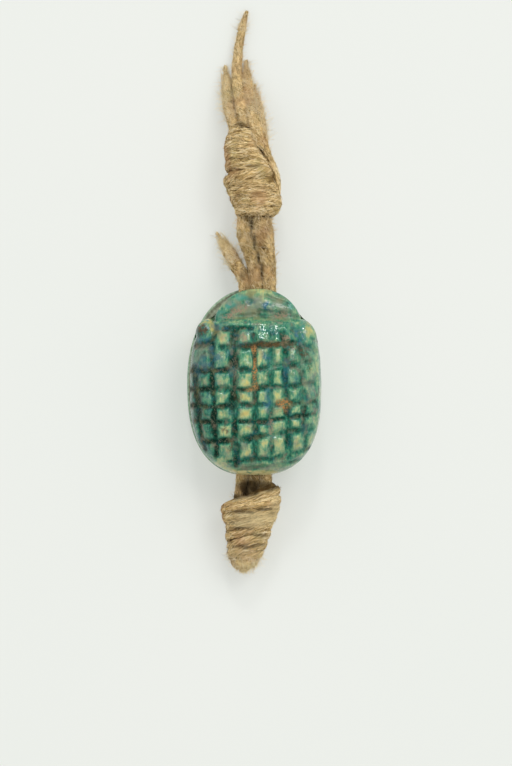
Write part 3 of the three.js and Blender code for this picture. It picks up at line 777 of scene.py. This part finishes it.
def make_upper_winding(linen):
    """The right tail, led down the right side in a loop, then wound round the knot upwards."""
    rng = np.random.default_rng([SEED, UPPER_SEED])
    laps = with_half(lap_line(UPPER_KNOT, UPPER_LAPS)[:-LAP_LEFT_OFF], UPPER_BAND_HALF)
    whole = smooth_route(np.vstack([TAIL_RIGHT_ROUTE, LOOP_ROUTE, laps]))
    start = np.argmax(whole[:, 1] < TAIL_RIGHT_ROUTE[-1][1])
    cords = Cordage()
    tail = whole[: start + TAIL_OVERLAP][::-1].copy()
    tail[: 2 * TAIL_OVERLAP, 3] *= np.linspace(TAIL_END_SHARE, 1, 2 * TAIL_OVERLAP)
    add_strand(cords, tail, TAIL_BODY, TAIL_FRAY, rng)
    add_strand(cords, smooth_route(TAIL_SIDE_ROUTE), TAIL_BODY, TAIL_FRAY, rng)
    skirt = smooth_route(SKIRT_ROUTE)
    add_fray(cords, skirt, SKIRT_FRAY, rng)
    add_fibres(cords, Skin(skirt), FUZZ, rng)
    add_filling(cords, UPPER_KNOT)
    add_winding(cords, UPPER_KNOT, whole[start - TAIL_OVERLAP :], rng)
    piece = cords.make("upper_winding", linen)
    declare_cord(piece, whole[:, :3], BAND_WIDTH, "bare", "coiled", "upper_knot", "tail_right")


def ripple(x, y, height, size, seed):
    """A smooth uneven wave over the plan, with a height and features of one size."""
    rng = np.random.default_rng([SEED, seed])
    low, high = RIPPLE_STRETCH
    total = np.zeros_like(x)
    for heading, phase, stretch in rng.uniform((0, 0, low), (np.pi, 2 * np.pi, high), (RIPPLE_WAVES, 3)):
        wave = (x * np.cos(heading) + y * np.sin(heading)) * stretch * np.pi / size
        total += np.sin(wave + phase)
    return height * (total / (RIPPLE_WAVES / 2))


def ease(value, low, high):
    """0 below the low value, 1 above the high one, and a smooth rise between."""
    share = np.clip((value - low) / (high - low), 0, 1)
    return share * share * (3 - 2 * share)


def oval_share(oval, x, y):
    """Distance from an oval's centre as a share of the way to its outline."""
    dx, dy = x - oval.centre[0], y - oval.centre[1]
    halves = zip(oval.front, oval.rear)
    length, left, right = [np.where(dy > 0, front, rear) for front, rear in halves]
    roundness = np.where(dx > 0, right, left)
    across = np.abs(dx / oval.half_width) ** roundness
    return (across + np.abs(dy / length) ** roundness) ** (1 / roundness)


def dome(oval, shoulder, crown, x, y):
    share = oval_share(oval, x, y)
    rise = np.clip(1 - share**DOME_FULLNESS, 0, None) ** (1 / DOME_FULLNESS)
    return shoulder + (crown - shoulder) * rise - STEEP * np.clip(share - 1, 0, None)


def lobe_share(lobe, x, y):
    dx, dy = x - lobe.centre[0], y - lobe.centre[1]
    cos, sin = math.cos(lobe.turn), math.sin(lobe.turn)
    return np.hypot((cos * dx - sin * dy) / lobe.size[0], (sin * dx + cos * dy) / lobe.size[1])


def lobe_height(lobe, x, y):
    share = lobe_share(lobe, x, y)
    rise = np.sqrt(np.clip(1 - share**2, 0, None))
    return lobe.height + lobe.size[2] * rise - STEEP * np.clip(share - 1, 0, None)


def soft_max(a, b):
    return (a + b + np.sqrt((a - b) ** 2 + BLEND**2)) / 2


def bowed(ends, bow, share):
    """A value that runs between two ends with its middle pushed to one side."""
    return ends[0] + (ends[1] - ends[0]) * share + bow * np.sin(np.pi * np.clip(share, 0, 1))


def column_x(line, y):
    return bowed(line.x, line.bow, (y - line.y[0]) / (line.y[1] - line.y[0]))


def row_y(line, x):
    return bowed(line.y, line.bow, (x - line.x[0]) / (line.x[1] - line.x[0]))


def carved_lines():
    """Plan points, half width, depth and darkness of every line cut in the back and the head."""
    share = np.linspace(0, 1, LINE_PIECES + 1)
    lines = []
    for line in COLUMNS:
        y = bowed(line.y, 0, share)
        lines.append((np.column_stack([column_x(line, y), y]), line.half, line.depth, line.dark))
    for line in ROWS:
        x = bowed(line.x, 0, share)
        lines.append((np.column_stack([x, row_y(line, x)]), line.half, line.depth, line.dark))
    for line in LOBE_GROOVES + HEAD_GROOVES:
        flat = [(*point, 0.0) for point in line.points]
        lines.append((smooth_route(flat, GROOVE_STEP)[:, :2], line.half, line.depth, line.dark))
    return lines


def line_distance(x, y, points):
    """Distance from plan points to a line."""
    nearest = np.full_like(x, np.inf)
    for (ax, ay), (bx, by) in zip(points, points[1:]):
        ux, uy = bx - ax, by - ay
        share = np.clip(((x - ax) * ux + (y - ay) * uy) / (ux * ux + uy * uy), 0, 1)
        nearest = np.minimum(nearest, np.hypot(x - ax - share * ux, y - ay - share * uy))
    return nearest


def cuts(x, y):
    """At plan points: the carving's depth, the share of the way out of a groove, and how dark it is."""
    wx = x + ripple(x, y, *DRIFT_ACROSS)
    wy = y + ripple(x, y, *DRIFT_ALONG)
    swell = 1 + ripple(x, y, *GROOVE_SWELL)
    deepest, nearest, darkest = np.zeros_like(x), np.full_like(x, FAR_FROM_CUT), np.zeros_like(x)
    for points, half, depth, dark in carved_lines():
        share = line_distance(wx, wy, points) / (half * swell)
        deepest = np.maximum(deepest, depth * swell * np.clip(1 - share**2, 0, None) ** 2)
        nearest = np.minimum(nearest, share)
        darkest = np.maximum(darkest, dark * (1 - ease(share, *DARK_FADE)))
    return deepest, nearest, darkest


def uncut_height(x, y):
    height = dome(BACK_OVAL, BACK_SHOULDER, BACK_HEIGHT, x, y)
    height = soft_max(height, dome(HEAD_OVAL, HEAD_SHOULDER, HEAD_HEIGHT, x, y))
    for lobe in LOBES:
        height = soft_max(height, lobe_height(lobe, x, y))
    return np.maximum(height, NOTCH_HEIGHT)


def bumps(x, y):
    """Small raised places on the head and the back's front edge."""
    total = np.zeros_like(x)
    for cx, cy, rx, ry, height in BUMPS:
        total += height * np.exp(-(((x - cx) / rx) ** 2) - ((y - cy) / ry) ** 2)
    return total


def top_height(x, y):
    uneven = sum(ripple(x, y, *wave) for wave in UNEVENNESS)
    return uncut_height(x, y) - cuts(x, y)[0] + bumps(x, y) + uneven


def smooth_round(values, passes):
    """Values round a closed ring, each softened by its neighbours."""
    for _ in range(passes):
        values = (np.roll(values, 1) + 2 * values + np.roll(values, -1)) / 4
    return values


def body_reach(angles):
    """Reach of the seal's body from its middle, round the back, the head and the lobes."""
    reach = np.linspace(0, OUTLINE_REACH, OUTLINE_SAMPLES)
    x, y = np.outer(np.cos(angles), reach), np.outer(np.sin(angles), reach)
    inside = (oval_share(BACK_OVAL, x, y) < 1) | (oval_share(HEAD_OVAL, x, y) < 1)
    for lobe in LOBES:
        inside |= lobe_share(lobe, x, y) < 1
    last = inside.shape[1] - 1 - np.argmax(inside[:, ::-1], axis=1)
    return smooth_round(reach[last], OUTLINE_PASSES)


def base_reach(angles):
    return 1 / oval_share(BASE_OVAL, np.cos(angles), np.sin(angles))


def even_shares():
    """Shares of the way to the outline that space the rings evenly over a dome."""
    angle = np.linspace(0, np.pi / 2, PROFILE_SAMPLES)
    share = np.sin(angle) ** (2 / DOME_FULLNESS)
    rise = np.cos(angle) ** (2 / DOME_FULLNESS)
    width = (BACK_OVAL.half_width + BACK_OVAL.rear[0]) / 2
    curve = np.column_stack([share * width, rise * (BACK_HEIGHT - BACK_SHOULDER), np.zeros_like(share)])
    along = lengths_along(curve)
    even = np.linspace(0, along[-1], TOP_RINGS + 1)[1:]
    return np.interp(even, along, share)


def under_height(x, y):
    """The stamping face: a border line and rows of plain slanted strokes, all shallow."""
    share = oval_share(BASE_OVAL, x, y)
    border = np.clip(1 - np.abs(share - BORDER_PLACE) / BORDER_HALF, 0, 1)
    row = np.abs((y + BASE_OVAL.rear[0]) % ROW_PITCH - ROW_PITCH / 2)
    stroke = np.abs((x + STROKE_SLANT * y) % STROKE_PITCH - STROKE_PITCH / 2)
    strokes = np.clip(1 - stroke / STROKE_HALF, 0, 1) * np.clip((ROW_HALF - row) / ROW_FADE, 0, 1)
    return FACE_DEPTH * np.maximum(border, strokes * (share < FIELD_PLACE))


def top_rings(heading, body):
    rings = []
    for share in even_shares():
        x, y = share * body * heading
        rings.append(np.stack([x, y, top_height(x, y)]))
    rings[-1][2] = smooth_round(rings[-1][2], RIM_PASSES)
    return rings


def side_rings(heading, body, rim):
    rings = []
    for share in np.linspace(0, 1, SIDE_RINGS + 1)[1:]:
        z = rim + (BASE_TOP - rim) * share
        waist = 1 - ease(z, *WAIST_HEIGHTS)
        x, y = body * (1 - (1 - WAIST_SHARE) * waist) * heading
        rings.append(np.stack([x, y, z]))
    return rings


def base_rings(heading, base):
    turn = np.linspace(np.pi / 2, 0, EDGE_RINGS)
    edge = [(BASE_EDGE * (np.cos(a) - 1), BASE_TOP - BASE_EDGE * (1 - np.sin(a))) for a in turn]
    edge += [(inset, BASE_TOP - z) for inset, z in reversed(edge)]
    rings = []
    for inset, z in edge:
        x, y = (base + inset) * heading
        rings.append(np.stack([x, y, np.full_like(x, z)]))
    for share in np.linspace(1, 0, UNDER_RINGS + 1)[1:-1]:
        x, y = (base - BASE_EDGE) * share * heading
        rings.append(np.stack([x, y, under_height(x, y)]))
    return rings


def seal_rings():
    """Rings of points from the crown, over the top, down the sides and under the base."""
    angles = np.linspace(0, 2 * np.pi, ROUND, endpoint=False)
    heading = np.stack([np.cos(angles), np.sin(angles)])
    body = body_reach(angles)
    rings = top_rings(heading, body)
    rings += side_rings(heading, body, rings[-1][2])
    rings += base_rings(heading, base_reach(angles))
    return rings


def seal_mesh():
    """The seal's closed surface before it is drilled."""
    rings = seal_rings()
    crown = np.array([[0.0, 0.0, top_height(np.zeros(1), np.zeros(1))[0]]])
    foot = np.array([[0.0, 0.0, 0.0]])
    points = np.vstack([crown, *[ring.T for ring in rings], foot])
    i, j = np.meshgrid(np.arange(len(rings) - 1), np.arange(ROUND), indexing="ij")
    i, j = i.ravel(), j.ravel()
    k = (j + 1) % ROUND
    quads = 1 + np.column_stack([i * ROUND + j, (i + 1) * ROUND + j, (i + 1) * ROUND + k, i * ROUND + k])
    here = np.arange(ROUND)
    after = (here + 1) % ROUND
    last = 1 + (len(rings) - 1) * ROUND
    top_fan = np.column_stack([np.zeros(ROUND, int), 1 + here, 1 + after])
    foot_fan = np.column_stack([np.full(ROUND, len(points) - 1), last + after, last + here])
    mesh = bpy.data.meshes.new("seal")
    mesh.from_pydata((points * MM).tolist(), [], [*quads.tolist(), *top_fan.tolist(), *foot_fan.tolist()])
    return mesh


def bore_cutter():
    turn = np.linspace(0, 2 * np.pi, BORE_SIDES, endpoint=False)
    x = BORE.x + BORE.half_width * np.cos(turn)
    z = BORE.height + BORE.half_height * np.sin(turn)
    ends = [np.column_stack([x, np.full_like(x, y), z]) for y in (-BORE_REACH, BORE_REACH)]
    here = np.arange(BORE_SIDES)
    after = (here + 1) % BORE_SIDES
    sides = np.column_stack([here, here + BORE_SIDES, after + BORE_SIDES, after])
    caps = [here.tolist(), (here[::-1] + BORE_SIDES).tolist()]
    mesh = bpy.data.meshes.new("bore")
    mesh.from_pydata((np.vstack(ends) * MM).tolist(), [], sides.tolist() + caps)
    return add_object("bore", mesh)


def drilled(mesh):
    """The mesh with the lengthwise bore cut through it."""
    blank = add_object("blank", mesh)
    cutter = bore_cutter()
    cut = blank.modifiers.new("bore", "BOOLEAN")
    cut.operation = "DIFFERENCE"
    cut.solver = "MANIFOLD"
    cut.object = cutter
    result = bpy.data.meshes.new_from_object(blank.evaluated_get(bpy.context.evaluated_depsgraph_get()))
    bpy.data.objects.remove(blank)
    bpy.data.objects.remove(cutter)
    return result


def places(x, y, spots):
    """Strength of a list of soft-edged spots at plan points."""
    uneven = ripple(x, y, *SPOT_RIPPLE)
    total = np.zeros_like(x)
    for cx, cy, rx, ry, strength in spots:
        distance = np.hypot((x - cx) / rx, (y - cy) / ry) + uneven
        total = np.maximum(total, strength * ease(SPOT_REACH - distance, 0, SPOT_FADE))
    return total


def cell_values(x, y, seed):
    """A random value, 0 to 1, that each cell of the lattice holds all over."""
    table = np.random.default_rng([SEED, seed]).uniform(size=(len(COLUMNS) + 1, len(ROWS) + 1))
    column = sum((x > column_x(line, y)).astype(int) for line in COLUMNS)
    row = sum((y < row_y(line, x)).astype(int) for line in ROWS)
    return table[column, row]


def glaze_thickness_and_shade(x, y, z, clear, dark, on_top):
    worn = CELL_LEAST + (1 - CELL_LEAST) * cell_values(x, y, CELL_SEED)
    worn = places(x, y, WEAR_PLACES) * worn * ease(clear, *CELL_CLEAR)
    change = CUT_THICKENING * dark - WEAR_THINNING * worn
    # Painted shade: the glaze is made thicker, so darker, towards the left, the side away from the light.
    change += LEFT_PAINTED_SHADE * ease(-x, *LEFT_SHADE_EASE) - REAR_THINNING * ease(-y, *REAR_EASE)
    foot = ease(FOOT_HEIGHT - z, 0, FOOT_FADE) * (FOOT_LEVEL + ripple(x, y, *FOOT_RIPPLE))
    return THICKNESS + change * on_top - FOOT_THINNING * foot


def seal_finish(x, y, z):
    """The glaze's thickness with painted shade, and how stained, dusty and bare of glaze the seal is, at its
    points.
    """
    on_top = z > uncut_height(x, y) - TOP_DEPTH
    at_rim = (z > BASE_TOP - BASE_EDGE) & (z < BASE_TOP + RIM_ABOVE)
    _, clear, dark = cuts(x, y)
    # Painted shade: the cuts' darkness is raised at the left and lowered at the right.
    dark = dark * (DIRT_LEVEL + ripple(x, y, *DIRT_RIPPLE)) * np.interp(x, CUT_SHADE_SIDES, CUT_SHADE_AT_SIDES)
    finish = {name: places(x, y, spots) * on_top for name, spots in STAIN_PLACES.items()}
    finish["thickness_and_shade"] = glaze_thickness_and_shade(x, y, z, clear, dark, on_top)
    finish["dust"] = dark * on_top
    finish["bare"] = (z < BARE_BELOW) | (np.abs(z - BASE_TOP) < BARE_BAND)
    finish["rear"] = ease(-y, *STRAW_EASE)
    finish["rim"] = ease(oval_share(BASE_OVAL, x, y), *RIM_EASE) * at_rim
    return finish


def paint_seal(mesh):
    points = np.empty(len(mesh.vertices) * 3)
    mesh.vertices.foreach_get("co", points)
    for name, values in seal_finish(*(points.reshape(-1, 3).T / MM)).items():
        keep_values(mesh, name, values)


def make_seal(glaze):
    mesh = drilled(seal_mesh())
    mesh.materials.clear()
    paint_seal(mesh)
    piece = place_mesh("seal_body", mesh, glaze)
    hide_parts("seal")


class Shader:
    """The nodes of a material or of the world, with short calls for those that are used most."""

    def __init__(self, owner):
        owner.use_nodes = True
        self.tree = owner.node_tree

    def fill(self, node, inputs):
        """Links the inputs that come from other nodes, and sets the rest."""
        for name, value in inputs.items():
            if isinstance(value, bpy.types.NodeSocket):
                self.tree.links.new(value, node.inputs[name])
            else:
                node.inputs[name].default_value = value

    def node(self, kind, inputs=(), **settings):
        made = self.tree.nodes.new(kind)
        for name, value in settings.items():
            setattr(made, name, value)
        self.fill(made, dict(inputs))
        return made

    def surface(self, colour, roughness, shine, inputs):
        inputs = {"Base Color": colour, "Roughness": roughness, "Specular IOR Level": shine} | inputs
        self.fill(self.tree.nodes["Principled BSDF"], inputs)

    def attribute(self, name):
        return self.node("ShaderNodeAttribute", attribute_name=name).outputs["Fac"]

    def noise(self, size, detail, seed, squeeze=(1.0, 1.0, 1.0)):
        """Cloudy values about 0.5 with features of one size, squeezed on each axis."""
        place = self.node("ShaderNodeTexCoord").outputs["Object"]
        place = self.node("ShaderNodeMapping", {"Vector": place, "Scale": squeeze}).outputs[0]
        inputs = {"Vector": place, "W": seed, "Scale": 1 / (size * MM), "Detail": detail}
        return self.node("ShaderNodeTexNoise", inputs, noise_dimensions="4D").outputs["Fac"]

    def ramp(self, value, low, high, out_low=0.0, out_high=1.0):
        inputs = {0: value, 1: low, 2: high, 3: out_low, 4: out_high}
        return self.node("ShaderNodeMapRange", inputs).outputs[0]

    def math(self, operation, a, b):
        return self.node("ShaderNodeMath", {0: a, 1: b}, operation=operation).outputs[0]

    def mix(self, share, a, b):
        inputs = {0: share, 6: a, 7: b}
        return self.node("ShaderNodeMix", inputs, data_type="RGBA").outputs[2]

    def drift(self, colour, cloud, share, tint):
        """A colour with a tint that drifts through it in clouds."""
        return self.mix(self.ramp(self.noise(*cloud), *share), colour, tint)

    def spot(self, colour, name, strength, tint):
        """A colour with a tint where the mesh keeps a value for it."""
        return self.mix(self.math("MULTIPLY", self.attribute(name), strength), colour, tint)

    def gradient(self, value, stops):
        """A colour that passes through a list of places and colours as the value rises."""
        colour = stops[0][1]
        for (low, _), (high, tint) in zip(stops, stops[1:]):
            colour = self.mix(self.ramp(value, low, high), colour, tint)
        return colour

    def bump(self, height, distance, strength=1.0, normal=None):
        inputs = {"Height": height, "Distance": distance * MM, "Strength": strength}
        if normal is not None:
            inputs["Normal"] = normal
        return self.node("ShaderNodeBump", inputs).outputs["Normal"]


def bare_base(shader, colour, grain):
    """A colour with the base's foot bare of glaze, and its rim worn and painted pale as a highlight on its
    edge.
    """
    bare = shader.mix(shader.ramp(grain, *BARE_SHARE), BARE_OLIVE, BARE_BROWN)
    bare = shader.mix(shader.attribute("rear"), bare, BARE_STRAW)
    colour = shader.mix(shader.attribute("bare"), colour, bare)
    return shader.spot(colour, "rim", shader.ramp(grain, *RIM_SHARE), RIM_MINT_AND_HIGHLIGHT)


def stained(shader, colour):
    """A colour with the speckled stains over it."""
    for seed, (name, (stain, size, gap)) in enumerate(STAINS.items()):
        cloud = shader.noise(size, SPECKLE_DETAIL, SPECKLE_SEED + seed)
        speckle = shader.ramp(cloud, gap, gap + SPECKLE_EDGE, SPECKLE_LEAST)
        colour = shader.spot(colour, name, speckle, stain)
    return colour


def glaze_colour(shader, grain, speck):
    """Glaze coloured by its thickness and painted shade, with drifting tints, stains, dust in the cuts and a
    bare base.
    """
    cloud, streak = shader.noise(*CLOUD), shader.noise(*STREAK)
    thickness_and_shade = shader.attribute("thickness_and_shade")
    changes = (cloud, CLOUD_CHANGE), (grain, GRAIN_CHANGE), (speck, SPECK_CHANGE), (streak, STREAK_CHANGE)
    for values, change in changes:
        thickness_and_shade = shader.math("ADD", thickness_and_shade, shader.ramp(values, *change))
    colour = shader.gradient(thickness_and_shade, GLAZE_COLOURS)
    for name, cloud in DRIFTS:
        colour = shader.drift(colour, cloud, DRIFT_SHARE, STAINS[name][0])
    colour = shader.spot(colour, "dust", shader.ramp(speck, *DUST_SHARE), DUST)
    return stained(shader, bare_base(shader, colour, grain))


def glaze_material():
    """A glossy glaze over an uneven skin, dull where dirt lies on it."""
    material = bpy.data.materials.new("glaze")
    shader = Shader(material)
    grain, speck = shader.noise(*GRAIN), shader.noise(*SPECK)
    dirt = shader.attribute("dust")
    for name in DULL_STAINS:
        dirt = shader.math("MAXIMUM", dirt, shader.attribute(name))
    rough = shader.math("ADD", shader.ramp(grain, *GLOSS), shader.math("MULTIPLY", dirt, DIRT_ROUGHNESS))
    normal = None
    for cloud, values, depth in GLAZE_RELIEF:
        normal = shader.bump(shader.ramp(shader.noise(*cloud), *values), depth, normal=normal)
    colour = glaze_colour(shader, grain, speck)
    shader.surface(colour, rough, shader.ramp(dirt, *SHINE), {"Normal": normal})
    return material


def linen_material():
    """Dry tan linen: threads of uneven colour with fine fibres that run along them."""
    material = bpy.data.materials.new("linen")
    shader = Shader(material)
    place = shader.node("ShaderNodeUVMap", uv_map="thread").outputs["UV"]
    place = shader.node("ShaderNodeMapping", {"Vector": place, "Scale": FIBRE_STRETCH}).outputs[0]
    inputs = {"Vector": place, "Scale": FIBRE_SCALE, "Detail": FIBRE_DETAIL}
    fibre = shader.node("ShaderNodeTexNoise", inputs).outputs["Fac"]
    # The tint carries painted shade as well as the threads' tone.
    tone = shader.math("MULTIPLY", shader.attribute("tint"), TINT_STRENGTH)
    tone = shader.math("ADD", tone, shader.ramp(fibre, *FIBRE_CHANGE))
    tone = shader.math("ADD", tone, shader.ramp(shader.noise(*LINEN_CLOUD), *LINEN_CHANGE))
    colour = shader.gradient(tone, LINEN_TONES)
    for cloud, share, tint in LINEN_DRIFTS:
        colour = shader.drift(colour, cloud, share, tint)
    for name, (strength, tint) in LINEN_SPOTS.items():
        colour = shader.spot(colour, name, strength, tint)
    normal = shader.bump(fibre, FIBRE_RELIEF, FIBRE_STRENGTH)
    shader.surface(colour, LINEN_ROUGHNESS, LINEN_SHINE, {"Normal": normal})
    return material


def make_floor():
    material = bpy.data.materials.new("floor")
    shader = Shader(material)
    colour = shader.drift(FLOOR_COLOUR, FLOOR_CLOUD, FLOOR_SHARE, FLOOR_SHADE)
    glow = {"Emission Color": GLOW_COLOUR, "Emission Strength": FLOOR_GLOW}
    shader.surface(colour, FLOOR_ROUGHNESS, FLOOR_SHINE, glow)
    half = FLOOR_HALF * MM
    corners = [(-half, -half, 0), (half, -half, 0), (half, half, 0), (-half, half, 0)]
    mesh = bpy.data.meshes.new("floor")
    mesh.from_pydata(corners, [], [(0, 1, 2, 3)])
    mesh.materials.append(material)
    floor = add_object("floor", mesh)


def add_light(name, place, size, power):
    """A soft square light that faces the seal, placed and sized in metres."""
    data = bpy.data.lights.new(name, "AREA")
    data.size = size
    data.energy = power
    light = add_object(name, data)
    light.location = place
    light.rotation_euler = (-light.location).to_track_quat("-Z", "Y").to_euler()


def make_world():
    """White light from all round, as strong as its height says."""
    world = bpy.data.worlds.new("studio")
    shader = Shader(world)
    place = shader.node("ShaderNodeTexCoord").outputs["Generated"]
    height = shader.node("ShaderNodeSeparateXYZ", {0: place}).outputs["Z"]
    light = SKY[0][1]
    for (low, before), (high, after) in zip(SKY, SKY[1:]):
        light = shader.math("ADD", light, shader.ramp(height, low, high, 0.0, after - before))
    shader.fill(shader.tree.nodes["Background"], {"Color": SKY_COLOUR, "Strength": light})
    bpy.context.scene.world = world


def light_scene():
    make_world()
    bpy.context.scene.view_settings.view_transform = "Standard"
    for name, (place, size, power) in LAMPS.items():
        add_light(name, place, size, power)


make_camera()
linen = linen_material()
make_strand("strand_left_cord", LEFT_ROUTE, LEFT_BODY, LEFT_FRAY, linen, "strand_left", "tail_left")
make_strand("strand_right_cord", RIGHT_ROUTE, RIGHT_BODY, LONG_FRAY, linen, "strand_right", "tail_long")
make_strand("strand_cut_cord", CUT_ROUTE, LEFT_BODY, CUT_FRAY, linen, "strand_cut")
make_lower_winding(linen)
make_upper_winding(linen)
make_seal(glaze_material())
make_floor()
light_scene()
